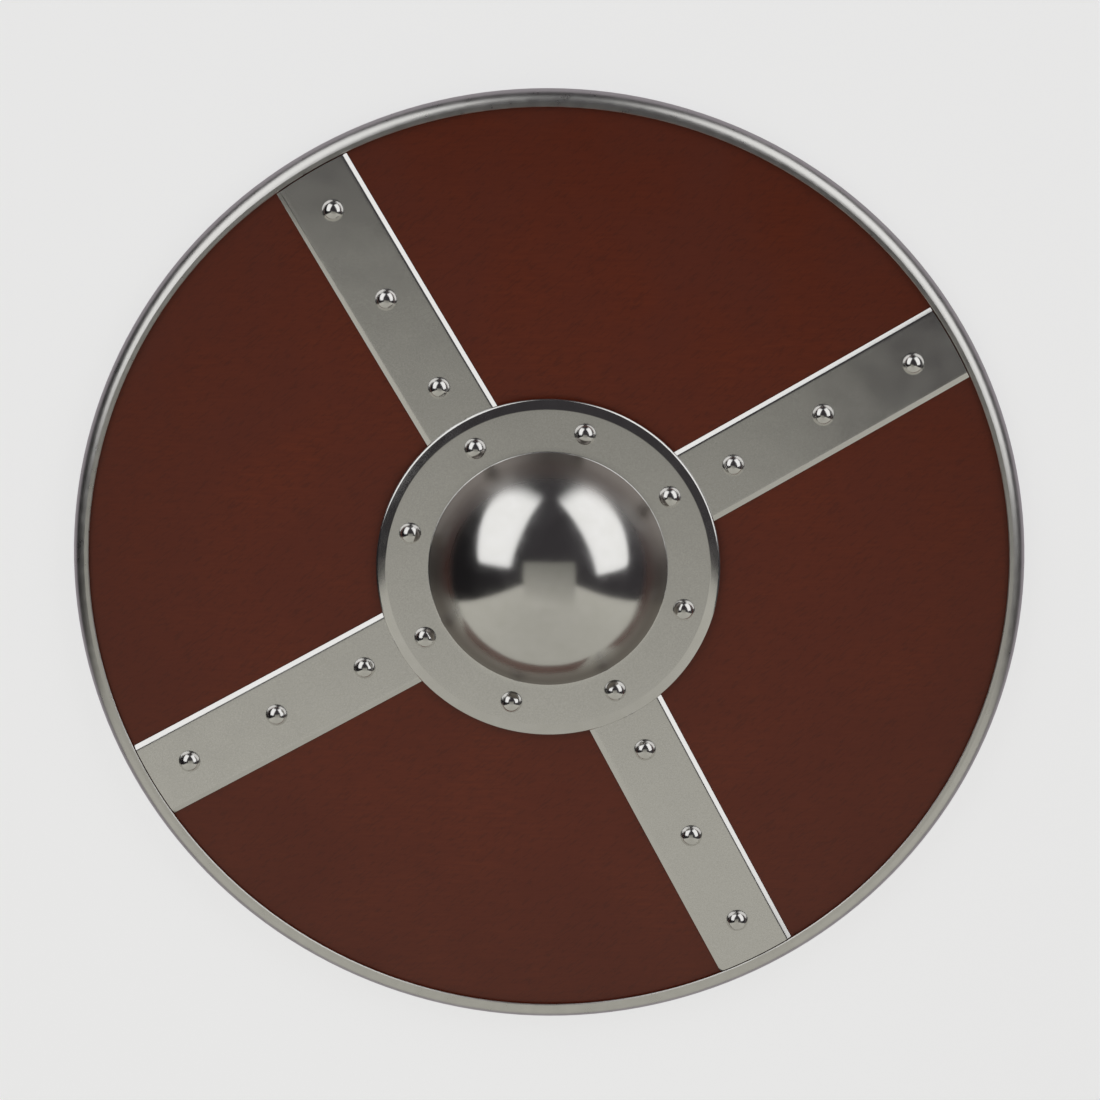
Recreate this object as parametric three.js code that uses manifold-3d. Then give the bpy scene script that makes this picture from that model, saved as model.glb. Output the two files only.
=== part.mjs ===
// A round buckler shield lying on its back, face up.
// Millimetres, +Z up. The origin is under the shield's middle, level with the rim's underside.

import * as THREE from 'three';
import { mergeVertices } from 'three/addons/utils/BufferGeometryUtils.js';
import Module from 'manifold-3d';

const wasm = await Module();
wasm.setup();

// Driving dimensions

const SHIELD_DIAMETER = 460;
const FIT_GAP = 0.3; // left between pieces that lie on each other

const BOARD_DIAMETER = 450.8;
const BOARD_THICKNESS = 8;
const BOARD_RISE = 10; // how far the board's middle is dished above its edge
const BOARD_CHAMFER = 1;
const HAND_HOLE_DIAMETER = 108;

const RIM_SHEET = 1.2;
const RIM_FRONT_OPENING = 444.4; // diameter of the face inside the rim
const RIM_BACK_OPENING = 436;
const RIM_ROLL_WIDTH = 5.6; // rounded part, measured along the radius
const RIM_CROWN = 0.3; // how far the roll stands over the front lip's inner edge

const STRAP_WIDTH = 38.8;
const STRAP_THICKNESS = 1.5;
const STRAP_INNER_RADIUS = 61;
const STRAP_OUTER_RADIUS = 221.6;
const STRAP_AZIMUTHS = [29.5, 120.6, 209.4, 297.3]; // degrees, laid out by hand
const STRAP_RIVET_FIRST = 102.1; // from the shield's middle
const STRAP_RIVET_PITCH = 49.3;
const STRAP_RIVET_COUNT = 3;

const BOSS_SHEET = 2;
const FLANGE_DIAMETER = 166;
const FLANGE_EDGE_WIDTH = 5; // band at the flange's edge that rounds down
const FLANGE_EDGE_DROP = 1.5;
const DOME_DIAMETER = 114.8;
const DOME_HEIGHT = 38; // above the flange's top
const DOME_ROOT = 2.4; // reach of the fillet between flange and dome

const BOSS_RIVET_CIRCLE = 136.8;
const BOSS_RIVET_AZIMUTHS = [31.2, 74.8, 120.5, 165.3, 209.9, 254.9, 298.2, 342.9];
const GRIP_AZIMUTH = 74.8;
const GRIP_RIVETS = [2, 6]; // the two boss rivets, counted from 1, that also hold the grip

const RIVET_HEAD_DIAMETER = 10.6;
const RIVET_HEAD_HEIGHT = 4.4;
const RIVET_SHANK_DIAMETER = 4;
const RIVET_HOLE_DIAMETER = 5.2;
const RIVET_TAIL_DIAMETER = 7.4;
const RIVET_TAIL_TIP_DIAMETER = 5.2;
const RIVET_TAIL_HEIGHT = 1.3;
const DRILL_LENGTH = 60;

const GRIP_LENGTH = 168;
const GRIP_TAB_WIDTH = 30;
const GRIP_TAB_THICKNESS = 6;
const GRIP_TAB_CORNER = 6;
const GRIP_BAR_LENGTH = 84; // the part that a hand closes on, inside the hand hole
const GRIP_BAR_WIDTH = 23;
const GRIP_BAR_SWELL = 1.5; // extra on each side at the middle
const GRIP_BAR_BOTTOM = 3.2;
const GRIP_BAR_TOP = 17.5;
const GRIP_BAR_ROUNDING = 3; // how far the bar's top falls towards its ends
const GRIP_SHOULDER = 8; // slope between the bar and each flat end

const ROUND_SIDES = 64;
const BOSS_SIDES = 44;
const RIVET_SIDES = 8;
const HOLE_SIDES = 6;
const DISH_STEPS = 3;

// Materials

const stainedBoard = new THREE.MeshStandardMaterial({ color: '#512a1c', roughness: 0.5, metalness: 0 });
const plainWood = new THREE.MeshStandardMaterial({ color: '#6b4a30', roughness: 0.7, metalness: 0 });
const sheetSteel = new THREE.MeshStandardMaterial({ color: '#b9b7b0', roughness: 0.35, metalness: 1 });
const polishedSteel = new THREE.MeshStandardMaterial({ color: '#d2d2d4', roughness: 0.15, metalness: 1 });

// Heights of the dished board, by distance from the shield's middle

const boardRadius = BOARD_DIAMETER / 2;

function backHeight(radius) {
  return RIM_SHEET + FIT_GAP + BOARD_RISE * (1 - (radius / boardRadius) ** 2);
}

function faceHeight(radius) {
  return backHeight(radius) + BOARD_THICKNESS;
}

function faceSlope(radius) {
  return Math.atan((2 * BOARD_RISE * radius) / boardRadius ** 2);
}

// Layers over the face

const strapUnder = FIT_GAP;
const strapTop = strapUnder + STRAP_THICKNESS;
const flangeUnder = strapTop + FIT_GAP;
const flangeTop = flangeUnder + BOSS_SHEET;

// Outlines, as lists of [across, up] points

function evenly(from, to, steps) {
  return Array.from({ length: steps + 1 }, (_, i) => from + ((to - from) * i) / steps);
}

function arc([x, y], [width, height], from, to, steps) {
  return evenly(from, to, steps).map((angle) => [
    x + width * Math.cos(angle),
    y + height * Math.sin(angle),
  ]);
}

function mirrored(half) {
  return [...half, ...half.toReversed().map(([x, y]) => [-x, y])];
}

// Solids

function solidFrom(geometry) {
  geometry.deleteAttribute('normal');
  geometry.deleteAttribute('uv');
  const merged = mergeVertices(geometry, 1e-4);
  const corners = [];
  for (let i = 0; i < merged.index.count; i += 3) {
    const [a, b, c] = merged.index.array.slice(i, i + 3);
    if (a !== b && b !== c && c !== a) corners.push(a, b, c);
  }
  return new wasm.Manifold(new wasm.Mesh({
    numProp: 3,
    vertProperties: Float32Array.from(merged.attributes.position.array),
    triVerts: Uint32Array.from(corners),
  }));
}

function geometryFrom(solid) {
  const mesh = solid.getMesh();
  const geometry = new THREE.BufferGeometry();
  geometry.setAttribute('position', new THREE.BufferAttribute(mesh.vertProperties, 3));
  geometry.setIndex(new THREE.BufferAttribute(mesh.triVerts, 1));
  geometry.computeVertexNormals();
  return geometry;
}

// Turns a counter-clockwise [radius, height] outline about the Z axis.
// It starts and ends on the axis, or is closed by going back to its first point.
function turned(outline, sides) {
  const points = outline.map(([radius, height]) => new THREE.Vector2(radius, height));
  if (outline[0][0] > 0) points.push(points[0]);
  return solidFrom(new THREE.LatheGeometry(points, sides).rotateX(Math.PI / 2));
}

function extruded(outline, depth) {
  const shape = new THREE.Shape(outline.map(([x, y]) => new THREE.Vector2(x, y)));
  return new THREE.ExtrudeGeometry(shape, { depth, bevelEnabled: false });
}

// A side view in the XZ plane, as thick as width along Y.
function sideways(outline, width) {
  return solidFrom(extruded(outline, width).translate(0, 0, -width / 2).rotateX(Math.PI / 2));
}

// Rivets: dome head, shank and clenched tail along Z, the head's underside at zero

function rivetSolid(grip) {
  const head = RIVET_HEAD_DIAMETER / 2;
  const curve = (head ** 2 + RIVET_HEAD_HEIGHT ** 2) / (2 * RIVET_HEAD_HEIGHT);
  const middle = [0, RIVET_HEAD_HEIGHT - curve];
  const edgeAngle = Math.acos(head / curve);
  return turned([
    [0, -grip - RIVET_TAIL_HEIGHT],
    [RIVET_TAIL_TIP_DIAMETER / 2, -grip - RIVET_TAIL_HEIGHT],
    [RIVET_TAIL_DIAMETER / 2, -grip],
    [RIVET_SHANK_DIAMETER / 2, -grip],
    [RIVET_SHANK_DIAMETER / 2, 0],
    ...arc(middle, [curve, curve], edgeAngle, Math.PI / 2, 3).slice(0, -1),
    [0, RIVET_HEAD_HEIGHT],
  ], RIVET_SIDES);
}

// A rivet stands square to the face, its head's underside just over the layer that it sits on.
function rivetPlace(azimuth, radius, seat) {
  const height = faceHeight(radius) + seat + FIT_GAP;
  return new THREE.Matrix4()
    .makeRotationZ(THREE.MathUtils.degToRad(azimuth))
    .multiply(new THREE.Matrix4().makeTranslation(radius, 0, height))
    .multiply(new THREE.Matrix4().makeRotationY(faceSlope(radius)));
}

const strapRivets = STRAP_AZIMUTHS.flatMap((azimuth, strap) =>
  Array.from({ length: STRAP_RIVET_COUNT }, (_, step) => ({
    name: `strap_rivet_${strap + 1}_${step + 1}`,
    place: rivetPlace(azimuth, STRAP_RIVET_FIRST + STRAP_RIVET_PITCH * step, strapTop),
    grip: strapTop + FIT_GAP + BOARD_THICKNESS + FIT_GAP,
  })));

const bossRivets = BOSS_RIVET_AZIMUTHS.map((azimuth, index) => {
  const holdsGrip = GRIP_RIVETS.includes(index + 1);
  return {
    name: `boss_rivet_${index + 1}`,
    place: rivetPlace(azimuth, BOSS_RIVET_CIRCLE / 2, flangeTop),
    grip: flangeTop + FIT_GAP + BOARD_THICKNESS + FIT_GAP
      + (holdsGrip ? GRIP_TAB_THICKNESS + FIT_GAP : 0),
  };
});

const rivets = [...bossRivets, ...strapRivets];

// Every layer is drilled along the same lines.
const drilled = wasm.Manifold.union(rivets.map(({ place }) => {
  const radius = RIVET_HOLE_DIAMETER / 2;
  const drill = new THREE.CylinderGeometry(radius, radius, DRILL_LENGTH, HOLE_SIDES);
  return solidFrom(drill.rotateX(Math.PI / 2).applyMatrix4(place));
}));

function drilledAt(azimuth) {
  const turn = new THREE.Matrix4().makeRotationZ(-THREE.MathUtils.degToRad(azimuth));
  return drilled.transform(turn.elements);
}

// Board: a dished disc with a hand hole behind the boss

function boardSolid() {
  const radii = evenly(HAND_HOLE_DIAMETER / 2, boardRadius - BOARD_CHAMFER, DISH_STEPS);
  return turned([
    ...radii.map((radius) => [radius, backHeight(radius)]),
    [boardRadius, backHeight(boardRadius) + BOARD_CHAMFER],
    [boardRadius, faceHeight(boardRadius) - BOARD_CHAMFER],
    ...radii.toReversed().map((radius) => [radius, faceHeight(radius)]),
  ], ROUND_SIDES).subtract(drilled);
}

// Rim: a channel of thin sheet, rolled round outside, with a flat lip on the face and on the back

function rimSolid() {
  const front = RIM_FRONT_OPENING / 2;
  const back = RIM_BACK_OPENING / 2;
  const lip = faceHeight(front) + FIT_GAP + RIM_SHEET;
  const middle = (lip + RIM_CROWN) / 2;
  const centre = [SHIELD_DIAMETER / 2 - RIM_ROLL_WIDTH, middle];
  const outer = [RIM_ROLL_WIDTH, middle];
  const inner = [RIM_ROLL_WIDTH - RIM_SHEET, middle - RIM_SHEET];
  return turned([
    [back, 0],
    ...arc(centre, outer, -Math.PI / 2, Math.PI / 2, 6),
    [front, lip],
    [front, lip - RIM_SHEET],
    ...arc(centre, inner, Math.PI / 2, -Math.PI / 2, 3),
    [back, RIM_SHEET],
  ], ROUND_SIDES);
}

// Strap: a flat bar that follows the dish, its outer end cut to the rim's curve

function strapSolid(azimuth) {
  const radii = evenly(STRAP_INNER_RADIUS, boardRadius, DISH_STEPS);
  const bar = sideways([
    ...radii.map((radius) => [radius, faceHeight(radius) + strapUnder]),
    ...radii.toReversed().map((radius) => [radius, faceHeight(radius) + strapTop]),
  ], STRAP_WIDTH);
  const insideRim = turned([
    [0, 0],
    [STRAP_OUTER_RADIUS, 0],
    [STRAP_OUTER_RADIUS, DRILL_LENGTH],
    [0, DRILL_LENGTH],
  ], ROUND_SIDES);
  return bar.intersect(insideRim).subtract(drilledAt(azimuth));
}

// Boss: flange and hollow dome pressed from one sheet, open behind

function bossSolid() {
  const edge = FLANGE_DIAMETER / 2;
  const shoulder = edge - FLANGE_EDGE_WIDTH;
  const base = DOME_DIAMETER / 2;
  const foot = base + DOME_ROOT;
  const top = (radius) => faceHeight(radius) + flangeTop;
  const under = (radius) => faceHeight(radius) + flangeUnder;
  const curve = (base ** 2 + DOME_HEIGHT ** 2) / (2 * DOME_HEIGHT);
  const innerCurve = curve - BOSS_SHEET;
  const middle = top(base) + DOME_HEIGHT - curve;
  const startAngle = Math.acos(base / curve) + DOME_ROOT / curve;
  const centre = [0, middle];
  return turned([
    [0, middle + innerCurve],
    ...arc(centre, [innerCurve, innerCurve], Math.PI / 2, startAngle, 7).slice(1),
    [base - BOSS_SHEET / 3, under(base) + DOME_ROOT / 3],
    [foot, under(foot)],
    [edge, under(edge)],
    [edge, top(edge) - FLANGE_EDGE_DROP],
    [edge - FLANGE_EDGE_WIDTH / 3, top(edge) - FLANGE_EDGE_DROP / 2],
    [shoulder, top(shoulder)],
    [foot, top(foot)],
    [base + DOME_ROOT / 4, top(base) + DOME_ROOT / 3],
    ...arc(centre, [curve, curve], startAngle, Math.PI / 2, 9).slice(0, -1),
    [0, middle + curve],
  ], BOSS_SIDES).subtract(drilled);
}

// Grip: a bar across the hand hole whose flat ends lie against the board's back

function gripSolid() {
  const end = GRIP_LENGTH / 2;
  const bar = GRIP_BAR_LENGTH / 2;
  const tab = bar + GRIP_SHOULDER;
  const tabSide = GRIP_TAB_WIDTH / 2;
  const barSide = GRIP_BAR_WIDTH / 2;
  const tabTop = (x) => backHeight(x) - FIT_GAP;
  const fromSide = mirrored([
    [bar / 2, GRIP_BAR_BOTTOM],
    [tab, tabTop(tab) - GRIP_TAB_THICKNESS],
    [end, tabTop(end) - GRIP_TAB_THICKNESS],
    [end, tabTop(end)],
    [tab, tabTop(tab)],
    [bar, GRIP_BAR_TOP - GRIP_BAR_ROUNDING],
    [bar / 2, GRIP_BAR_TOP],
  ]);
  const fromAbove = mirrored([
    [bar / 3, -barSide - GRIP_BAR_SWELL],
    [bar, -barSide],
    [tab, -tabSide],
    [end - GRIP_TAB_CORNER, -tabSide],
    [end, GRIP_TAB_CORNER - tabSide],
    [end, tabSide - GRIP_TAB_CORNER],
    [end - GRIP_TAB_CORNER, tabSide],
    [tab, tabSide],
    [bar, barSide],
    [bar / 3, barSide + GRIP_BAR_SWELL],
  ]);
  return sideways(fromSide, GRIP_TAB_WIDTH)
    .intersect(solidFrom(extruded(fromAbove, GRIP_BAR_TOP + FIT_GAP)))
    .subtract(drilledAt(GRIP_AZIMUTH));
}

// The shield

const shield = new THREE.Group();

function addPiece(name, solid, material) {
  const piece = new THREE.Mesh(geometryFrom(solid), material);
  piece.name = name;
  shield.add(piece);
  return piece;
}

addPiece('board', boardSolid(), stainedBoard);
addPiece('rim', rimSolid(), sheetSteel);
addPiece('boss', bossSolid(), sheetSteel);

STRAP_AZIMUTHS.forEach((azimuth, index) => {
  const strap = addPiece(`strap_${index + 1}`, strapSolid(azimuth), sheetSteel);
  strap.rotation.z = THREE.MathUtils.degToRad(azimuth);
});

const grip = addPiece('grip', gripSolid(), plainWood);
grip.rotation.z = THREE.MathUtils.degToRad(GRIP_AZIMUTH);

for (const { name, place, grip: layers } of rivets) {
  addPiece(name, rivetSolid(layers), polishedSteel).applyMatrix4(place);
}

export default shield;
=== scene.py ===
import functools
import math

import bmesh
import bpy
from mathutils import Matrix, Vector


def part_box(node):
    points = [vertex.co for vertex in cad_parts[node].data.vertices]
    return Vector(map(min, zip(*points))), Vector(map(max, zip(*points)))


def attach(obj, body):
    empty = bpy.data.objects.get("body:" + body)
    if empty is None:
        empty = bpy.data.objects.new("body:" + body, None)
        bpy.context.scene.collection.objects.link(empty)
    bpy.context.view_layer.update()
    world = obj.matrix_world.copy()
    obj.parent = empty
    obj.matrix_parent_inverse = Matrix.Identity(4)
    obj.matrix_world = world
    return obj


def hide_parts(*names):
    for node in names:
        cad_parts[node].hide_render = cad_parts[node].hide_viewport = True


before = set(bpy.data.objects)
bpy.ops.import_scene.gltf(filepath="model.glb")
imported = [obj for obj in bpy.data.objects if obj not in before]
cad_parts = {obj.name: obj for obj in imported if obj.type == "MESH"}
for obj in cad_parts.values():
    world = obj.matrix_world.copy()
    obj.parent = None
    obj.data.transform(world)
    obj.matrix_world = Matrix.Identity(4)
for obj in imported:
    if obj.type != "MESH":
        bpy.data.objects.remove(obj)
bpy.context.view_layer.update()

# A round buckler shield lying on its back, face up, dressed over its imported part.
# Metres, +Z up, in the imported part's own frame.

MM = 0.001

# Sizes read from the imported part

grip_low, grip_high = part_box("grip")

SHIELD_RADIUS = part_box("rim")[1].x
BOARD_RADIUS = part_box("board")[1].x
BOSS_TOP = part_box("boss")[1].z
GRIP_BOTTOM = grip_low.z
GRIP_TOP = grip_high.z

# Sizes of the layers, as in the part

FIT_GAP = 0.3 * MM
RIM_SHEET = 1.2 * MM
BOARD_THICKNESS = 8 * MM
BOARD_RISE = 10 * MM
STRAP_THICKNESS = 1.5 * MM
BOSS_SHEET = 2 * MM

STRAP_UNDER = FIT_GAP
STRAP_TOP = STRAP_UNDER + STRAP_THICKNESS
FLANGE_UNDER = STRAP_TOP + FIT_GAP
FLANGE_TOP = FLANGE_UNDER + BOSS_SHEET

ROUND_STEPS = 192
DISH_STEPS = 24


def back_height(radius):
    """Height of the board's hidden side, by distance from the shield's middle."""
    return RIM_SHEET + FIT_GAP + BOARD_RISE * (1 - (radius / BOARD_RADIUS) ** 2)


def face_height(radius):
    """Height of the board's face, by distance from the shield's middle."""
    return back_height(radius) + BOARD_THICKNESS


def face_slope(radius):
    """How far the dished face leans outwards there, in radians."""
    return math.atan(2 * BOARD_RISE * radius / BOARD_RADIUS**2)


# Nodes and colours


def srgb(code):
    """A hex colour as linear red, green, blue and alpha."""
    parts = [int(code[place:place + 2], 16) / 255 for place in (1, 3, 5)]
    linear = [part / 12.92 if part <= 0.04045 else ((part + 0.055) / 1.055) ** 2.4 for part in parts]
    return (*linear, 1)


def add_node(tree, kind, inputs=None, output=0, **settings):
    """Adds a node with its settings and links, and gives one of its outputs."""
    made = tree.nodes.new(kind)
    for name, value in settings.items():
        setattr(made, name, value)
    for place, value in (inputs or {}).items():
        if isinstance(value, bpy.types.NodeSocket):
            tree.links.new(value, made.inputs[place])
        else:
            made.inputs[place].default_value = value
    return made.outputs[output] if made.outputs else None


def new_material(name):
    """An empty node material, and what adds a node to it."""
    material = bpy.data.materials.new(name)
    material.use_nodes = True
    material.node_tree.nodes.clear()
    return material, functools.partial(add_node, material.node_tree)


def drawn_out(add, along, turn=0):
    """Object coordinates in metres, turned about the shield's axis, with patterns drawn out along x."""
    place = add("ShaderNodeTexCoord", output="Object")
    turned = add("ShaderNodeMapping", {"Vector": place, "Rotation": (0, 0, math.radians(turn))})
    return add("ShaderNodeMapping", {"Vector": turned, "Scale": (1 / along, 1, 1)})


def mottled(add, place, size, contrast, detail=2, roughness=0.5):
    """Soft patches about that many metres across, from 0 to 1. More contrast makes them harder."""
    cloud = {"Vector": place, "Scale": 1 / size, "Detail": detail, "Roughness": roughness}
    spread = 0.5 / contrast
    levels = {1: 0.5 - spread, 2: 0.5 + spread}
    return add("ShaderNodeMapRange", {0: add("ShaderNodeTexNoise", cloud), **levels})


# Materials


def stained_birch_ply():
    """Birch plywood, stained red-brown and wiped with matt lacquer: soft mottling, short fine grain."""
    material, add = new_material("stained_birch_ply")
    place = add("ShaderNodeTexCoord", output="Object")
    patches = mottled(add, place, 48 * MM, 3.3, 3)
    # Birch's fibres and pores, about 0.1 mm wide, are too fine to show and are drawn about 1 mm wide.
    fibres = mottled(add, drawn_out(add, 12), 1.1 * MM, 2.5, 3, 0.6)
    pores = mottled(add, drawn_out(add, 6, -38), 0.9 * MM, 4)
    mix = {"data_type": "RGBA"}
    wiped = add("ShaderNodeMix", {0: patches, 6: srgb("#7A2F11"), 7: srgb("#702B14")}, 2, **mix)
    grained = add("ShaderNodeMix", {0: fibres, 6: srgb("#6C2810"), 7: wiped}, 2, **mix)
    deep = add("ShaderNodeMapRange", {0: pores, 1: 0.75, 2: 1, 3: 0, 4: 0.30})
    shown = add("ShaderNodeMix", {0: deep, 6: grained, 7: srgb("#451A0D")}, 2, **mix)
    level = add("ShaderNodeVectorMath", {0: place, 1: (1, 1, 0)}, operation="MULTIPLY")
    radius = add("ShaderNodeVectorMath", {0: level}, "Value", operation="LENGTH")
    # Painted shade: the face's colour darkens towards the board's edge.
    edge = {0: radius, 1: 0.62 * BOARD_RADIUS, 2: BOARD_RADIUS, 3: 0, 4: 0.35}
    darker = add("ShaderNodeMapRange", edge)
    colour = add("ShaderNodeMix", {0: darker, 6: shown, 7: srgb("#552414")}, 2, **mix)
    gloss = add("ShaderNodeMapRange", {0: patches, 3: 0.38, 4: 0.46})
    relief = add("ShaderNodeBump", {"Height": fibres, "Distance": 0.02 * MM})
    finish = {"Base Color": colour, "Roughness": gloss, "Normal": relief, "Specular IOR Level": 0.5}
    add("ShaderNodeOutputMaterial", {0: add("ShaderNodeBsdfPrincipled", finish)})
    return material


def bare_ply_back():
    """The same plywood behind, stained thinly and left unlacquered: dull, with open grain lines."""
    material, add = new_material("bare_ply_back")
    place = add("ShaderNodeTexCoord", output="Object")
    along = drawn_out(add, 16)
    patches = mottled(add, place, 60 * MM, 2.5, 3)
    bands = mottled(add, along, 7 * MM, 3.3, 3, 0.6)
    # As on the face, the fibres are drawn about ten times as wide as they are.
    fibres = mottled(add, along, 1.0 * MM, 2.5, 3, 0.6)
    mix = {"data_type": "RGBA"}
    grained = add("ShaderNodeMix", {0: bands, 6: srgb("#6A4128"), 7: srgb("#7D5134")}, 2, **mix)
    lines = add("ShaderNodeMapRange", {0: fibres, 3: 0.35, 4: 0})
    lined = add("ShaderNodeMix", {0: lines, 6: grained, 7: srgb("#4A2B1B")}, 2, **mix)
    cloudy = add("ShaderNodeMapRange", {0: patches, 3: 0, 4: 0.4})
    colour = add("ShaderNodeMix", {0: cloudy, 6: lined, 7: srgb("#5A3521")}, 2, **mix)
    gloss = add("ShaderNodeMapRange", {0: bands, 3: 0.62, 4: 0.75})
    relief = add("ShaderNodeBump", {"Height": fibres, "Distance": 0.06 * MM})
    finish = {"Base Color": colour, "Roughness": gloss, "Normal": relief}
    add("ShaderNodeOutputMaterial", {0: add("ShaderNodeBsdfPrincipled", finish)})
    return material


def satin_steel():
    """Mild steel sheet, ground and rubbed satin: blurred reflections, a fine even speckle, slight waves."""
    material, add = new_material("satin_steel")
    place = add("ShaderNodeTexCoord", output="Object")
    # The grit's own marks, about 0.05 mm wide, are too fine to show and are drawn 0.7 mm wide.
    speckle = mottled(add, place, 0.7 * MM, 2.5, 2, 0.7)
    rubbed = mottled(add, place, 14 * MM, 2.5, 3)
    waves = mottled(add, place, 26 * MM, 1, 1)
    tones = {0: speckle, 6: srgb("#DBDAD7"), 7: srgb("#E8E7E5")}
    colour = add("ShaderNodeMix", tones, 2, data_type="RGBA")
    gloss = add("ShaderNodeMapRange", {0: rubbed, 3: 0.22, 4: 0.27})
    hammered = add("ShaderNodeBump", {"Height": waves, "Distance": 0.25 * MM})
    scratched = {"Height": speckle, "Distance": 0.003 * MM, "Normal": hammered}
    relief = add("ShaderNodeBump", scratched)
    finish = {"Base Color": colour, "Metallic": 1, "Roughness": gloss, "Normal": relief}
    add("ShaderNodeOutputMaterial", {0: add("ShaderNodeBsdfPrincipled", finish)})
    return material


def buffed_steel():
    """Mild steel, pressed and buffed to a mirror: sharp reflections with faint haze from the wheel."""
    material, add = new_material("buffed_steel")
    place = add("ShaderNodeTexCoord", output="Object")
    haze = mottled(add, place, 9 * MM, 2.5, 3)
    waves = mottled(add, place, 16 * MM, 1, 1)
    tones = {0: haze, 6: srgb("#DBDAD7"), 7: srgb("#E0DFDD")}
    colour = add("ShaderNodeMix", tones, 2, data_type="RGBA")
    gloss = add("ShaderNodeMapRange", {0: haze, 3: 0.13, 4: 0.17})
    relief = add("ShaderNodeBump", {"Height": waves, "Distance": 0.05 * MM})
    finish = {"Base Color": colour, "Metallic": 1, "Roughness": gloss, "Normal": relief}
    add("ShaderNodeOutputMaterial", {0: add("ShaderNodeBsdfPrincipled", finish)})
    return material


def buffed_dome_steel():
    """The same steel on the dome: a mirror above, duller at its foot, past the wheel's reach, and darkened
    there with painted shade.
    """
    material, add = new_material("buffed_dome_steel")
    place = add("ShaderNodeTexCoord", output="Object")
    haze = mottled(add, place, 9 * MM, 2.5, 3)
    waves = mottled(add, place, 16 * MM, 1, 1)
    level = add("ShaderNodeVectorMath", {0: place, 1: (1, 1, 0)}, operation="MULTIPLY")
    radius = add("ShaderNodeVectorMath", {0: level}, "Value", operation="LENGTH")
    reach = {0: radius, 1: DOME_DULL_SHADE_START, 2: DOME_DULL_SHADE_END, 3: 0, 4: 1}
    foot = add("ShaderNodeMapRange", reach, interpolation_type="SMOOTHSTEP")
    mix = {"data_type": "RGBA"}
    clean = add("ShaderNodeMix", {0: haze, 6: srgb("#DBDAD7"), 7: srgb("#E0DFDD")}, 2, **mix)
    # Painted shade: the colour darkens towards the dome's foot and its crease with the flange.
    colour = add("ShaderNodeMix", {0: foot, 6: clean, 7: srgb("#938C87")}, 2, **mix)
    bright = add("ShaderNodeMapRange", {0: haze, 3: 0.13, 4: 0.16})
    gloss = add("ShaderNodeMapRange", {0: foot, 3: bright, 4: 0.44})
    relief = add("ShaderNodeBump", {"Height": waves, "Distance": 0.05 * MM})
    finish = {"Base Color": colour, "Metallic": 1, "Roughness": gloss, "Normal": relief}
    add("ShaderNodeOutputMaterial", {0: add("ShaderNodeBsdfPrincipled", finish)})
    return material


def rolled_rim_steel():
    """Steel sheet rolled over the edge and polished: long clean reflections that waver a little."""
    material, add = new_material("rolled_rim_steel")
    place = add("ShaderNodeTexCoord", output="Object")
    haze = mottled(add, place, 6 * MM, 2.5, 3)
    waves = mottled(add, place, 22 * MM, 1, 2)
    tones = {0: haze, 6: srgb("#D8D7D4"), 7: srgb("#E0DFDC")}
    colour = add("ShaderNodeMix", tones, 2, data_type="RGBA")
    gloss = add("ShaderNodeMapRange", {0: haze, 3: 0.27, 4: 0.33})
    relief = add("ShaderNodeBump", {"Height": waves, "Distance": 0.12 * MM})
    finish = {"Base Color": colour, "Metallic": 1, "Roughness": gloss, "Normal": relief}
    add("ShaderNodeOutputMaterial", {0: add("ShaderNodeBsdfPrincipled", finish)})
    return material


def oiled_ash():
    """Ash, shaped and oiled: long open grain, a soft sheen, darker where a hand closes on it."""
    material, add = new_material("oiled_ash")
    place = add("ShaderNodeTexCoord", output="Object")
    along = drawn_out(add, 12, -GRIP_AZIMUTH)
    rings = mottled(add, along, 4 * MM, 3.3, 3, 0.6)
    # Ash's open pores, about 0.3 mm wide, are drawn 0.8 mm wide so that they show.
    pores = mottled(add, along, 0.8 * MM, 4)
    mix = {"data_type": "RGBA"}
    grained = add("ShaderNodeMix", {0: rings, 6: srgb("#8A5E38"), 7: srgb("#6E4526")}, 2, **mix)
    open_pores = add("ShaderNodeMapRange", {0: pores, 1: 0.6, 2: 1, 3: 0, 4: 0.4})
    shown = add("ShaderNodeMix", {0: open_pores, 6: grained, 7: srgb("#3F2515")}, 2, **mix)
    distance = add("ShaderNodeVectorMath", {0: place}, "Value", operation="LENGTH")
    handled = add("ShaderNodeMapRange", {0: distance, 1: 25 * MM, 2: 50 * MM, 3: 0.35, 4: 0})
    colour = add("ShaderNodeMix", {0: handled, 6: shown, 7: srgb("#4C2E1A")}, 2, **mix)
    gloss = add("ShaderNodeMapRange", {0: rings, 3: 0.42, 4: 0.55})
    relief = add("ShaderNodeBump", {"Height": open_pores, "Distance": -0.15 * MM})
    finish = {"Base Color": colour, "Roughness": gloss, "Normal": relief}
    add("ShaderNodeOutputMaterial", {0: add("ShaderNodeBsdfPrincipled", finish)})
    return material


# Making pieces


def first_point(bm, radius, height):
    """Starts a section in the plane y = 0."""
    return bm.verts.new((radius, 0, height))


def straight_to(bm, last, radius, height):
    """Draws the section on from its last point in a straight line."""
    drawn = bmesh.ops.extrude_vert_indiv(bm, verts=[last])["verts"][0]
    drawn.co = (radius, 0, height)
    return drawn


def curved_about(bm, last, radius, height, degrees, steps):
    """Draws the section on by swinging its last point about a centre, clockwise if positive."""
    swung = bmesh.ops.spin(
        bm,
        geom=[last],
        cent=(radius, 0, height),
        axis=(0, 1, 0),
        angle=math.radians(degrees),
        steps=steps,
        use_merge=False,
        use_duplicate=False,
    )
    return [part for part in swung["geom_last"] if isinstance(part, bmesh.types.BMVert)][0]


def dished_to(bm, last, radius, height_of, steps):
    """Draws the section on along the dish, whose height is a function of the radius."""
    start = last.co.x
    for step in range(1, steps + 1):
        reach = start + (radius - start) * step / steps
        last = straight_to(bm, last, reach, height_of(reach))
    return last


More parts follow.
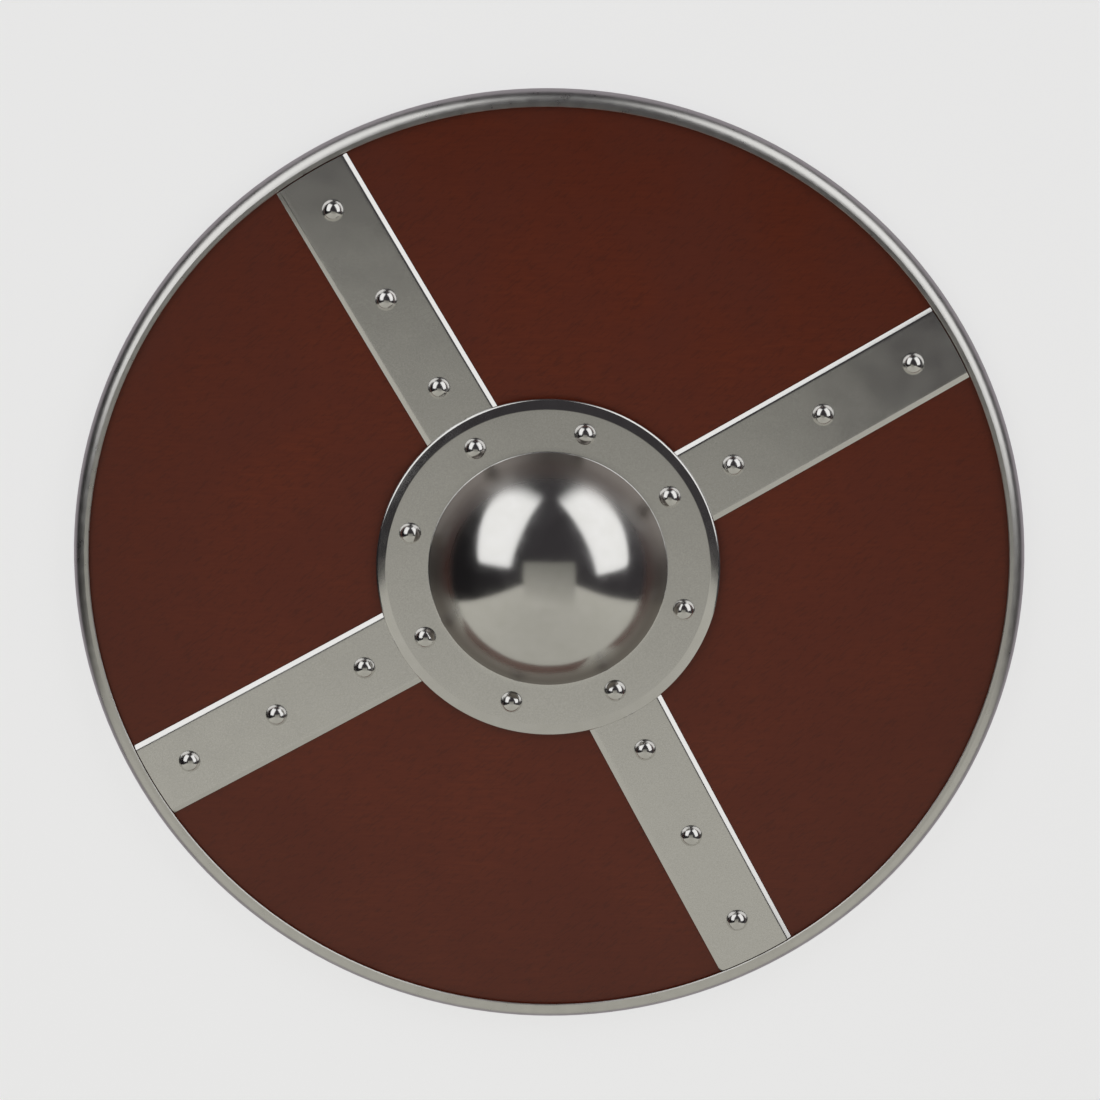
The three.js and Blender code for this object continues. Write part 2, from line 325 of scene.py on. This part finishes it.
def turned_round(bm, steps):
    """Turns the section about the upright axis into a closed shape that faces outwards."""
    bmesh.ops.spin(
        bm,
        geom=bm.verts[:] + bm.edges[:],
        cent=(0, 0, 0),
        axis=(0, 0, 1),
        angle=2 * math.pi,
        steps=steps,
        use_merge=True,
        use_duplicate=False,
    )
    bmesh.ops.remove_doubles(bm, verts=bm.verts[:], dist=0.001 * MM)
    bmesh.ops.recalc_face_normals(bm, faces=bm.faces[:])


def add_piece(name, bm, nodes, materials, crease=40):
    """Makes the object that stands for these nodes. Edges sharper than the crease stay sharp."""
    for face in bm.faces:
        face.smooth = True
    mesh = bpy.data.meshes.new(name)
    bm.to_mesh(mesh)
    bm.free()
    for material in materials:
        mesh.materials.append(material)
    mesh.set_sharp_from_angle(angle=math.radians(crease))
    made = bpy.data.objects.new(name, mesh)
    bpy.context.scene.collection.objects.link(made)
    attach(made, "root")
    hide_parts(*nodes)


# Board

HAND_HOLE_RADIUS = 54 * MM
BOARD_CHAMFER = 1 * MM


def dished_board():
    """The wooden disc: stained face, plainer back, a hand hole behind the boss."""
    bm = bmesh.new()
    start = first_point(bm, HAND_HOLE_RADIUS, back_height(HAND_HOLE_RADIUS))
    flat_edge = BOARD_RADIUS - BOARD_CHAMFER
    last = dished_to(bm, start, flat_edge, back_height, DISH_STEPS)
    last = straight_to(bm, last, BOARD_RADIUS, back_height(BOARD_RADIUS) + BOARD_CHAMFER)
    last = straight_to(bm, last, BOARD_RADIUS, face_height(BOARD_RADIUS) - BOARD_CHAMFER)
    last = straight_to(bm, last, flat_edge, face_height(flat_edge))
    last = dished_to(bm, last, HAND_HOLE_RADIUS, face_height, DISH_STEPS)
    bm.edges.new((last, start))
    turned_round(bm, ROUND_STEPS)
    for face in bm.faces:
        if face.normal.z < 0.5:
            face.material_index = 1
    add_piece("dished_board", bm, ["board"], [stained_birch_ply(), bare_ply_back()])


# Rim

RIM_FRONT_RADIUS = 222.2 * MM
RIM_BACK_RADIUS = 218 * MM
RIM_CREASE_RADIUS = 224.4 * MM
RIM_CREASE_LEAN = 18
RIM_CROWN = 0.3 * MM
RIM_LIP_FALL = 0.15 * MM
RIM_EDGE_ROUNDING = 0.4 * MM
ROLL_STEPS = 18

rim_top = face_height(RIM_FRONT_RADIUS) + FIT_GAP + RIM_SHEET + RIM_CROWN


def rolled_rim():
    """A channel of thin sheet over the board's edge, rolled round outside, creased where it starts."""
    lean = math.radians(RIM_CREASE_LEAN)
    over = (SHIELD_RADIUS - RIM_CREASE_RADIUS) / (1 - math.sin(lean))
    under = rim_top - over * math.cos(lean)
    bm = bmesh.new()
    start = first_point(bm, RIM_BACK_RADIUS, 0)
    last = straight_to(bm, start, SHIELD_RADIUS - under, 0)
    last = curved_about(bm, last, SHIELD_RADIUS - under, under, -90, ROLL_STEPS)
    last = curved_about(bm, last, SHIELD_RADIUS - over, under, RIM_CREASE_LEAN - 90, ROLL_STEPS)
    lip = rim_top + RIM_LIP_FALL
    last = straight_to(bm, last, RIM_FRONT_RADIUS + RIM_EDGE_ROUNDING, lip)
    last = straight_to(bm, last, RIM_FRONT_RADIUS, lip - RIM_EDGE_ROUNDING)
    last = straight_to(bm, last, RIM_FRONT_RADIUS, lip - RIM_SHEET)
    last = straight_to(bm, last, RIM_CREASE_RADIUS, rim_top - RIM_SHEET)
    inside = over - RIM_SHEET
    reach = SHIELD_RADIUS - over + inside * math.sin(lean)
    last = straight_to(bm, last, reach, under + inside * math.cos(lean))
    last = curved_about(bm, last, SHIELD_RADIUS - over, under, 90 - RIM_CREASE_LEAN, ROLL_STEPS)
    inside = under - RIM_SHEET
    last = curved_about(bm, last, SHIELD_RADIUS - RIM_SHEET - inside, under, 90, ROLL_STEPS)
    last = straight_to(bm, last, RIM_BACK_RADIUS, RIM_SHEET)
    bm.edges.new((last, start))
    turned_round(bm, ROUND_STEPS)
    add_piece("rolled_rim", bm, ["rim"], [rolled_rim_steel()], 15)


# Straps

STRAP_WIDTH = 38.8 * MM
STRAP_INNER_RADIUS = 61 * MM
STRAP_OUTER_RADIUS = 221.6 * MM
STRAP_AZIMUTHS = (29.5, 120.6, 209.4, 297.3)
STRAP_LENGTH_STEPS = 48
STRAP_WIDTH_STEPS = 10
STRAP_CHAMFER = 2.2 * MM
STRAP_CHAMFER_SOFTENING = 0.7 * MM
STRAP_SOFTENING_STEPS = 6


def rounded_strap(number, azimuth, steels):
    """A flat bar that follows the dish, long edges rolled down, outer end cut to the rim's curve."""
    bm = bmesh.new()
    bmesh.ops.create_grid(bm, x_segments=STRAP_LENGTH_STEPS, y_segments=STRAP_WIDTH_STEPS, size=0.5)
    bmesh.ops.scale(bm, vec=(1, STRAP_WIDTH, 1), verts=bm.verts[:])
    for vert in bm.verts:
        reach = math.sqrt(STRAP_OUTER_RADIUS**2 - vert.co.y**2)
        vert.co.x = STRAP_INNER_RADIUS + (vert.co.x + 0.5) * (reach - STRAP_INNER_RADIUS)
    raised = bmesh.ops.extrude_face_region(bm, geom=bm.faces[:])["geom"]
    top_verts = [part for part in raised if isinstance(part, bmesh.types.BMVert)]
    top_edges = [part for part in raised if isinstance(part, bmesh.types.BMEdge)]
    # The bar is made tall enough for an even chamfer and then pressed flat.
    tall = STRAP_CHAMFER + 0.1 * MM
    bmesh.ops.translate(bm, vec=(0, 0, tall), verts=top_verts)
    bmesh.ops.recalc_face_normals(bm, faces=bm.faces[:])
    side = STRAP_WIDTH / 2 - 0.01 * MM
    long_edges = [edge for edge in top_edges if min(abs(vert.co.y) for vert in edge.verts) > side]
    bevel = {"affect": "EDGES", "offset_type": "OFFSET", "profile": 0.5, "material": -1}
    bmesh.ops.bevel(bm, geom=long_edges, offset=STRAP_CHAMFER, segments=1, clamp_overlap=True, **bevel)
    brink = STRAP_WIDTH / 2 - STRAP_CHAMFER
    brinks = [
        edge
        for edge in bm.edges
        if all(abs(abs(vert.co.y) - brink) < 0.01 * MM and vert.co.z > tall / 2 for vert in edge.verts)
    ]
    soft = {"offset": STRAP_CHAMFER_SOFTENING, "segments": STRAP_SOFTENING_STEPS}
    bmesh.ops.bevel(bm, geom=brinks, clamp_overlap=True, **soft, **bevel)
    for face in bm.faces:
        if face.normal.z > 0.1 and abs(face.calc_center_median().y) > brink:
            face.material_index = 1
    bmesh.ops.scale(bm, vec=(1, 1, STRAP_THICKNESS / tall), verts=bm.verts[:])
    for vert in bm.verts:
        vert.co.z += face_height(vert.co.xy.length) + STRAP_UNDER
    bmesh.ops.rotate(
        bm, cent=(0, 0, 0), matrix=Matrix.Rotation(math.radians(azimuth), 3, "Z"), verts=bm.verts[:]
    )
    add_piece(f"rounded_strap_{number}", bm, [f"strap_{number}"], steels, 50)


# Boss

DOME_BASE_RADIUS = 57.4 * MM
DOME_HEIGHT = 38 * MM
DOME_ROOT = 0.4 * MM
# Where the dome's foot turns duller and is darkened with painted shade.
DOME_DULL_SHADE_START = 42 * MM
DOME_DULL_SHADE_END = 0.95 * DOME_BASE_RADIUS
DOME_STEPS = 40
DOME_INSIDE_STEPS = 24
ROOT_STEPS = 6
FLANGE_RADIUS = 83 * MM
FLANGE_STEPS = 8
FLANGE_SHOULDER_RADIUS = 77.7 * MM
FLANGE_EDGE_LEAN = 14
FLANGE_TIP_LEAN = 60
FLANGE_SHOULDER_ROUNDING = 3.4 * MM
FLANGE_TIP_ROUNDING = 1.9 * MM


def flange_top(radius):
    """Height of the flange's upper side."""
    return face_height(radius) + FLANGE_TOP


def flange_under(radius):
    """Height of the flange's under side."""
    return face_height(radius) + FLANGE_UNDER


def rounded_down(bm, last, rounding, first_lean, last_lean):
    """Draws the section on round an edge, from one lean to a steeper one, both in radians."""
    side = last.co.x - rounding * math.sin(first_lean)
    middle = last.co.z - rounding * math.cos(first_lean)
    return curved_about(bm, last, side, middle, math.degrees(last_lean - first_lean), FLANGE_STEPS)


def pressed_boss():
    """Flange and hollow dome pressed from one sheet: satin flange with a buffed edge, buffed dome."""
    bm = bmesh.new()
    curve = (DOME_BASE_RADIUS**2 + DOME_HEIGHT**2) / (2 * DOME_HEIGHT)
    centre = BOSS_TOP - curve
    foot = DOME_BASE_RADIUS + DOME_ROOT
    root = math.acos(DOME_BASE_RADIUS / curve) + DOME_ROOT / curve
    swing = 90 - math.degrees(root)
    top = first_point(bm, 0, BOSS_TOP)
    last = curved_about(bm, top, 0, centre, swing, DOME_STEPS)
    fillet_top = Vector((last.co.x, last.co.z))
    fillet_foot = Vector((foot, flange_top(foot)))
    corner = Vector((DOME_BASE_RADIUS + 0.1 * DOME_ROOT, flange_top(DOME_BASE_RADIUS)))
    for step in range(1, ROOT_STEPS + 1):
        share = step / ROOT_STEPS
        place = fillet_top.lerp(corner, share).lerp(corner.lerp(fillet_foot, share), share)
        last = straight_to(bm, last, place.x, place.y)
    last = dished_to(bm, last, FLANGE_SHOULDER_RADIUS, flange_top, FLANGE_STEPS)
    lean = math.radians(FLANGE_EDGE_LEAN)
    tip = math.radians(FLANGE_TIP_LEAN)
    last = rounded_down(bm, last, FLANGE_SHOULDER_ROUNDING, face_slope(FLANGE_SHOULDER_RADIUS), lean)
    tip_width = FLANGE_TIP_ROUNDING * (math.sin(tip) - math.sin(lean))
    band = FLANGE_RADIUS - tip_width - last.co.x
    last = straight_to(bm, last, last.co.x + band, last.co.z - band * math.tan(lean))
    last = rounded_down(bm, last, FLANGE_TIP_ROUNDING, lean, tip)
    under = last.co.x
    last = straight_to(bm, last, under, flange_under(under))
    last = dished_to(bm, last, foot, flange_under, FLANGE_STEPS)
    last = straight_to(bm, last, DOME_BASE_RADIUS - BOSS_SHEET / 3, flange_under(foot) + DOME_ROOT / 3)
    inner = curve - BOSS_SHEET
    last = straight_to(bm, last, inner * math.cos(root), centre + inner * math.sin(root))
    curved_about(bm, last, 0, centre, -swing, DOME_INSIDE_STEPS)
    turned_round(bm, ROUND_STEPS)
    for face in bm.faces:
        middle_place = face.calc_center_median()
        reach = middle_place.xy.length
        if reach < DOME_BASE_RADIUS + DOME_ROOT and middle_place.z > flange_top(0):
            face.material_index = 1
        if reach > FLANGE_SHOULDER_RADIUS and face.normal.z > 0:
            face.material_index = 2
    steels = [satin_steel(), buffed_dome_steel(), buffed_steel()]
    add_piece("pressed_boss", bm, ["boss"], steels, 60)


# Rivets

RIVET_HEAD_RADIUS = 5.3 * MM
RIVET_HEAD_HEIGHT = 4.4 * MM
RIVET_SHANK_RADIUS = 2 * MM
RIVET_TAIL_RADIUS = 3.7 * MM
RIVET_TAIL_TIP_RADIUS = 2.6 * MM
RIVET_TAIL_HEIGHT = 1.3 * MM
RIVET_STEPS = 40
RIVET_HEAD_STEPS = 12


def domed_rivet(node, steel):
    """Dome head, shank and clenched tail in one, set square to the face where its node is."""
    low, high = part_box(node)
    place = (low + high) / 2
    radius = place.xy.length
    tail_tip = RIVET_HEAD_HEIGHT - (high.z - low.z)
    tail = tail_tip + RIVET_TAIL_HEIGHT
    curve = (RIVET_HEAD_RADIUS**2 + RIVET_HEAD_HEIGHT**2) / (2 * RIVET_HEAD_HEIGHT)
    swing = math.degrees(math.asin(RIVET_HEAD_RADIUS / curve))
    bm = bmesh.new()
    top = first_point(bm, 0, RIVET_HEAD_HEIGHT)
    last = curved_about(bm, top, 0, RIVET_HEAD_HEIGHT - curve, swing, RIVET_HEAD_STEPS)
    last = straight_to(bm, last, RIVET_SHANK_RADIUS, 0)
    last = straight_to(bm, last, RIVET_SHANK_RADIUS, tail)
    last = straight_to(bm, last, RIVET_TAIL_RADIUS, tail)
    last = straight_to(bm, last, RIVET_TAIL_TIP_RADIUS, tail_tip)
    straight_to(bm, last, 0, tail_tip)
    turned_round(bm, RIVET_STEPS)
    azimuth = math.atan2(place.y, place.x)
    stand = (
        Matrix.Rotation(azimuth, 4, "Z")
        @ Matrix.Translation((radius, 0, high.z - RIVET_HEAD_HEIGHT))
        @ Matrix.Rotation(face_slope(radius), 4, "Y")
    )
    bmesh.ops.transform(bm, matrix=stand, verts=bm.verts[:])
    add_piece(f"domed_{node}", bm, [node], [steel], 50)


# Grip

GRIP_AZIMUTH = 74.8
GRIP_LENGTH = 168 * MM
GRIP_TAB_WIDTH = 30 * MM
GRIP_TAB_THICKNESS = 6 * MM
GRIP_BAR_LENGTH = 84 * MM
GRIP_BAR_WIDTH = 26 * MM
GRIP_SHOULDER = 8 * MM
GRIP_BAR_FALL = 3 * MM
GRIP_BAR_SWELL = 2.6 * MM
GRIP_NECK = 4 * MM
GRIP_END_LENGTH = 6 * MM
GRIP_END_NARROWING = 4 * MM
GRIP_BAR_SQUARENESS = 2.6
GRIP_TAB_SQUARENESS = 9
GRIP_STATIONS = 56
GRIP_SIDES = 32


def eased(value, low, high):
    """A smooth step from 0 to 1 between low and high."""
    share = min(1, max(0, (value - low) / (high - low)))
    return share * share * (3 - 2 * share)


def shaped_grip():
    """A bar across the hand hole, rounded for the hand, with flat ends against the board's back."""
    bm = bmesh.new()
    bmesh.ops.create_cone(
        bm,
        cap_ends=True,
        segments=GRIP_SIDES,
        radius1=1,
        radius2=1,
        depth=GRIP_LENGTH,
        matrix=Matrix.Rotation(math.radians(90), 4, "Y"),
    )
    long_edges = [edge for edge in bm.edges if abs(edge.verts[0].co.x - edge.verts[1].co.x) > MM]
    bmesh.ops.subdivide_edges(bm, edges=long_edges, cuts=GRIP_STATIONS)
    bar_end = GRIP_BAR_LENGTH / 2
    tab_start = bar_end + GRIP_SHOULDER
    for vert in bm.verts:
        along = abs(vert.co.x)
        tab = eased(along, bar_end - GRIP_NECK, tab_start)
        tab_top = back_height(along) - FIT_GAP
        top = (GRIP_TOP - GRIP_BAR_FALL * eased(along, 0, bar_end)) * (1 - tab) + tab_top * tab
        low_part = eased(along, bar_end / 2, tab_start)
        bottom = GRIP_BOTTOM * (1 - low_part) + (tab_top - GRIP_TAB_THICKNESS) * low_part
        swell = GRIP_BAR_WIDTH - GRIP_BAR_SWELL * eased(along, 0, bar_end)
        corner = eased(along, GRIP_LENGTH / 2 - GRIP_END_LENGTH, GRIP_LENGTH / 2)
        half_width = (swell * (1 - tab) + GRIP_TAB_WIDTH * tab) / 2 - GRIP_END_NARROWING * corner
        squareness = GRIP_BAR_SQUARENESS * (1 - tab) + GRIP_TAB_SQUARENESS * tab
        angle = math.atan2(vert.co.z, vert.co.y)
        side = math.copysign(abs(math.cos(angle)) ** (2 / squareness), math.cos(angle))
        rise = math.copysign(abs(math.sin(angle)) ** (2 / squareness), math.sin(angle))
        vert.co.y = half_width * side
        vert.co.z = (top + bottom) / 2 + (top - bottom) / 2 * rise
    bmesh.ops.recalc_face_normals(bm, faces=bm.faces[:])
    bmesh.ops.rotate(
        bm,
        cent=(0, 0, 0),
        matrix=Matrix.Rotation(math.radians(GRIP_AZIMUTH), 3, "Z"),
        verts=bm.verts[:],
    )
    add_piece("shaped_grip", bm, ["grip"], [oiled_ash()], 50)


# Studio

PALE_GLOW = srgb("#E6E6E6")[0]
WHITE = (1, 1, 1, 1)
FLOOR_RADIUS = 24
FLOOR_CLEARANCE = 0.5 * MM
FLOOR_GLOW = 0.67
WALL_GLOW = 0.45
WALL_SIDE_GLOW = 0.54
WALL_DISTANCE = 1.6
WALL_HALF_LENGTH = 3.1
WALL_FOOT = -0.4
WALL_TOP = 7
# The dark room grows pale below and darker on the left, between these heights and places of a direction.
ROOM_LOW = (-0.45, -0.2)
ROOM_LEFT = (-1, -0.1)
ROOM_LOW_GLOW = 0.33
ROOM_LEFT_GLOW = 0.010
ROOM_GLOW = 0.040
ROOM_TINT = (1, 0.92, 1, 1)
CARD_LEFT_HEIGHT = 1.3
CARD_RIGHT_HEIGHT = 0.5
CARD_SWING = (-0.39, 0.43)
CARD_LEAN = (-0.6, 0.16)
CARD_LOW_GLOW = 0.47
CARD_HIGH_GLOW = 0.205
CARD_LEFT_BOOST = 1.14
CARD_RIGHT_BOOST = 0.97
SOFTBOX_GLOW = 1.1
SOFTBOX_DISTANCE = 2.5
SOFTBOX_OUTER_SIDE = 0.31
SOFTBOX_HIGH_WIDTH = 0.64
SOFTBOX_LOW_WIDTH = 0.86
SOFTBOX_HIGH_END = 0.54
SOFTBOX_SLANT = 0.12
SOFTBOX_LOW_ROUNDING = 0.3
SOFTBOX_HIGH_ROUNDING = 0.06
# Elevation, azimuth and roll in degrees, the outer side, and where the fade starts and ends at 1 m
SOFTBOX_LEFT = (29.6, 141.4, 32.4, 1, 0.46, 0.94)
SOFTBOX_RIGHT = (25, 29.9, 161.7, -1, 0.62, 1.12)
WALL_TINT = (1, 0.98, 0.885, 1)


def staged(name, bm, material):
    """Adds an object of the studio, which isn't part of the shield."""
    mesh = bpy.data.meshes.new(name)
    bm.to_mesh(mesh)
    bm.free()
    mesh.materials.append(material)
    made = bpy.data.objects.new(name, mesh)
    bpy.context.scene.collection.objects.link(made)
    return made


def floor_paint():
    """Plain pale floor, lit evenly from its own glow. It can be looked through from below."""
    material, add = new_material("floor_paint")
    matt = add("ShaderNodeBsdfDiffuse", {"Color": (0.3, 0.3, 0.3, 1)})
    glow = add("ShaderNodeEmission", {"Color": WHITE, "Strength": FLOOR_GLOW})
    lit = add("ShaderNodeAddShader", {0: matt, 1: glow})
    clear = add("ShaderNodeBsdfTransparent")
    behind = add("ShaderNodeNewGeometry", output="Backfacing")
    shown = add("ShaderNodeMixShader", {0: behind, 1: lit, 2: clear})
    add("ShaderNodeOutputMaterial", {"Surface": shown})
    return material


def glowing_paper(name, tint, fade, along="X"):
    """Lit white paper. The fade gives two distances along an axis of the object, and the glow at each."""
    material, add = new_material(name)
    place = add("ShaderNodeTexCoord", output="Object")
    distance = add("ShaderNodeSeparateXYZ", {0: place}, along)
    levels = {0: distance, 1: fade[0], 2: fade[1], 3: fade[2], 4: fade[3]}
    glow = add("ShaderNodeMapRange", levels, interpolation_type="SMOOTHSTEP")
    shader = add("ShaderNodeEmission", {"Color": tint, "Strength": glow})
    add("ShaderNodeOutputMaterial", {"Surface": shader})
    return material


def leaning_paper():
    """The card's paper, lit more at its low end and on its left as seen from the shield."""
    material, add = new_material("card_paper")
    place = add("ShaderNodeTexCoord", output="Object")
    sideways = add("ShaderNodeSeparateXYZ", {0: place}, "X")
    outwards = add("ShaderNodeSeparateXYZ", {0: place}, "Y")
    upwards = add("ShaderNodeSeparateXYZ", {0: place}, "Z")
    lean = add("ShaderNodeMath", {0: outwards, 1: upwards}, operation="DIVIDE")
    swing = add("ShaderNodeMath", {0: sideways, 1: upwards}, operation="DIVIDE")
    low, high = CARD_LEAN
    left, right = CARD_SWING
    upright_fade = {0: lean, 1: low, 2: high, 3: CARD_LOW_GLOW, 4: CARD_HIGH_GLOW}
    glow = add("ShaderNodeMapRange", upright_fade)
    level_fade = {0: swing, 1: left, 2: right, 3: CARD_LEFT_BOOST, 4: CARD_RIGHT_BOOST}
    boost = add("ShaderNodeMapRange", level_fade)
    strength = add("ShaderNodeMath", {0: glow, 1: boost}, operation="MULTIPLY")
    shader = add("ShaderNodeEmission", {"Color": WALL_TINT, "Strength": strength})
    add("ShaderNodeOutputMaterial", {"Surface": shader})
    return material


def pale_floor():
    """A wide round floor under the shield and a pale sky-dome around it, seen only by the camera."""
    bm = bmesh.new()
    bmesh.ops.create_circle(bm, cap_ends=True, radius=FLOOR_RADIUS, segments=96)
    bmesh.ops.translate(bm, vec=(0, 0, -FLOOR_CLEARANCE), verts=bm.verts[:])
    floor = staged("floor", bm, floor_paint())
    floor.visible_glossy = False
    floor.visible_shadow = False
    bm = bmesh.new()
    bmesh.ops.create_uvsphere(bm, u_segments=64, v_segments=32, radius=FLOOR_RADIUS + 1)
    paper = glowing_paper("backdrop_paper", WHITE, (0, 1, PALE_GLOW, PALE_GLOW))
    backdrop = staged("backdrop", bm, paper)
    backdrop.visible_diffuse = False
    backdrop.visible_glossy = False
    backdrop.visible_shadow = False


def paper_card(name, corners, material):
    """A flat lit card between its corners. The camera looks past it."""
    bm = bmesh.new()
    bm.faces.new([bm.verts.new(corner) for corner in corners])
    card = staged(name, bm, material)
    card.visible_camera = False
    card.visible_shadow = False


def softbox(name, elevation, azimuth, roll, side, fade_start, fade_end):
    """A soft light that faces the shield's middle, its low end wider, rounded and fading. Sizes at 1 m."""
    glow = (-fade_end * SOFTBOX_DISTANCE, -fade_start * SOFTBOX_DISTANCE, 0, SOFTBOX_GLOW)
    paper = glowing_paper(f"{name}_cloth", WHITE, glow)
    bm = bmesh.new()
    bmesh.ops.create_grid(bm, x_segments=1, y_segments=1, size=0.5)
    for vert in bm.verts:
        inner = SOFTBOX_LOW_WIDTH if vert.co.x < 0 else SOFTBOX_HIGH_WIDTH
        high_end = SOFTBOX_HIGH_END + (SOFTBOX_SLANT if vert.co.y > 0 else 0)
        vert.co.y = side * (inner if vert.co.y > 0 else 0) - side * SOFTBOX_OUTER_SIDE
        vert.co.x = -fade_end if vert.co.x < 0 else high_end
    for corners, rounding in (
        ([vert for vert in bm.verts if vert.co.x < 0], SOFTBOX_LOW_ROUNDING),
        ([vert for vert in bm.verts if vert.co.x > 0], SOFTBOX_HIGH_ROUNDING),
    ):
        bmesh.ops.bevel(
            bm,
            geom=corners,
            offset=rounding,
            offset_type="OFFSET",
            segments=8,
            profile=0.5,
            affect="VERTICES",
            clamp_overlap=True,
            material=-1,
        )
    bmesh.ops.scale(bm, vec=(SOFTBOX_DISTANCE,) * 3, verts=bm.verts[:])
    raised = Matrix.Rotation(math.radians(-elevation), 4, "Y")
    towards = Matrix.Rotation(math.radians(azimuth), 4, "Z") @ raised @ Vector((1, 0, 0))
    level = Vector((0, 0, 1)).cross(towards).normalized()
    upright = towards.cross(level)
    along = level * math.cos(math.radians(roll)) + upright * math.sin(math.radians(roll))
    across = towards.cross(along)
    panel = staged(name, bm, paper)
    turn = Matrix((along, across, towards)).transposed().to_4x4()
    panel.matrix_world = Matrix.Translation(towards * SOFTBOX_DISTANCE) @ turn
    panel.visible_camera = False
    panel.visible_shadow = False


def studio_light():
    """Two softboxes beyond the shield's top, a lit white wall and a card on the near side, a dark room."""
    softbox("softbox_left", *SOFTBOX_LEFT)
    softbox("softbox_right", *SOFTBOX_RIGHT)
    near = -WALL_DISTANCE
    for name, end in (("white_wall_left", -WALL_HALF_LENGTH), ("white_wall_right", WALL_HALF_LENGTH)):
        paper = glowing_paper(f"{name}_paper", WALL_TINT, (0, end, WALL_GLOW, WALL_SIDE_GLOW))
        low_edge = [(0, near, WALL_FOOT), (end, near, WALL_FOOT)]
        high_edge = [(end, near, WALL_TOP), (0, near, WALL_TOP)]
        paper_card(name, low_edge + high_edge, paper)
    # The card's swing and lean are its edges' x and y at a height of 1. It is tilted sideways.
    tilt = tuple(zip(CARD_SWING, (CARD_LEFT_HEIGHT, CARD_RIGHT_HEIGHT)))
    low_corners = [(x * height, CARD_LEAN[0] * height, height) for x, height in tilt]
    high_corners = [(x * height, CARD_LEAN[1] * height, height) for x, height in tilt]
    corners = low_corners + high_corners[::-1]
    paper_card("white_card", corners, leaning_paper())
    world = bpy.data.worlds.new("dark_room")
    world.use_nodes = True
    tree = world.node_tree
    tree.nodes.clear()
    add = functools.partial(add_node, tree)
    towards = add("ShaderNodeTexCoord", output="Generated")
    height = add("ShaderNodeSeparateXYZ", {0: towards}, "Z")
    across = add("ShaderNodeSeparateXYZ", {0: towards}, "X")
    left, middle = ROOM_LEFT
    dark = add("ShaderNodeMapRange", {0: across, 1: left, 2: middle, 3: ROOM_LEFT_GLOW, 4: ROOM_GLOW})
    bottom, top = ROOM_LOW
    glow = add("ShaderNodeMapRange", {0: height, 1: bottom, 2: top, 3: ROOM_LOW_GLOW, 4: dark})
    room = add("ShaderNodeBackground", {"Color": ROOM_TINT, "Strength": glow})
    add("ShaderNodeOutputWorld", {"Surface": room})
    bpy.context.scene.world = world
    bpy.context.scene.view_settings.view_transform = "Standard"


# Camera

CAMERA_DISTANCE = 2.7
CAMERA_TILT = math.radians(12.8)
CAMERA_SWING = math.radians(-4)
FRAME_WIDTH = 0.531
SENSOR_WIDTH = 36
AIM_RIGHT = 0.8 * MM
AIM_UP = 6.6 * MM


def place_camera():
    """Looks down on the shield from a little beyond its top edge, as the photograph does."""
    swing = Matrix.Rotation(CAMERA_SWING, 3, "Z")
    sideways = swing @ Vector((1, 0, 0))
    upwards = swing @ Vector((0, 1, 0))
    back = upwards * math.sin(CAMERA_TILT) + Vector((0, 0, math.cos(CAMERA_TILT)))
    level = upwards * math.cos(CAMERA_TILT) - Vector((0, 0, math.sin(CAMERA_TILT)))
    right = sideways * math.cos(CAMERA_SWING) - level * math.sin(CAMERA_SWING)
    up = sideways * math.sin(CAMERA_SWING) + level * math.cos(CAMERA_SWING)
    lip = face_height(RIM_FRONT_RADIUS) + FIT_GAP + RIM_SHEET
    aim = Vector((0, 0, lip)) + right * AIM_RIGHT + up * AIM_UP
    data = bpy.data.cameras.new("camera")
    data.sensor_width = SENSOR_WIDTH
    data.lens = SENSOR_WIDTH * CAMERA_DISTANCE / FRAME_WIDTH
    camera = bpy.data.objects.new("camera", data)
    turn = Matrix((right, up, back)).transposed().to_4x4()
    camera.matrix_world = Matrix.Translation(aim + back * CAMERA_DISTANCE) @ turn
    bpy.context.scene.collection.objects.link(camera)
    bpy.context.scene.camera = camera


# The shield and its studio

dished_board()
rolled_rim()
pressed_boss()
shaped_grip()

strap_steels = [satin_steel(), buffed_steel()]
for index, azimuth in enumerate(STRAP_AZIMUTHS):
    rounded_strap(index + 1, azimuth, strap_steels)

rivet_steel = buffed_steel()
for node in sorted(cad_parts):
    if "rivet" in node:
        domed_rivet(node, rivet_steel)

pale_floor()
studio_light()
place_camera()
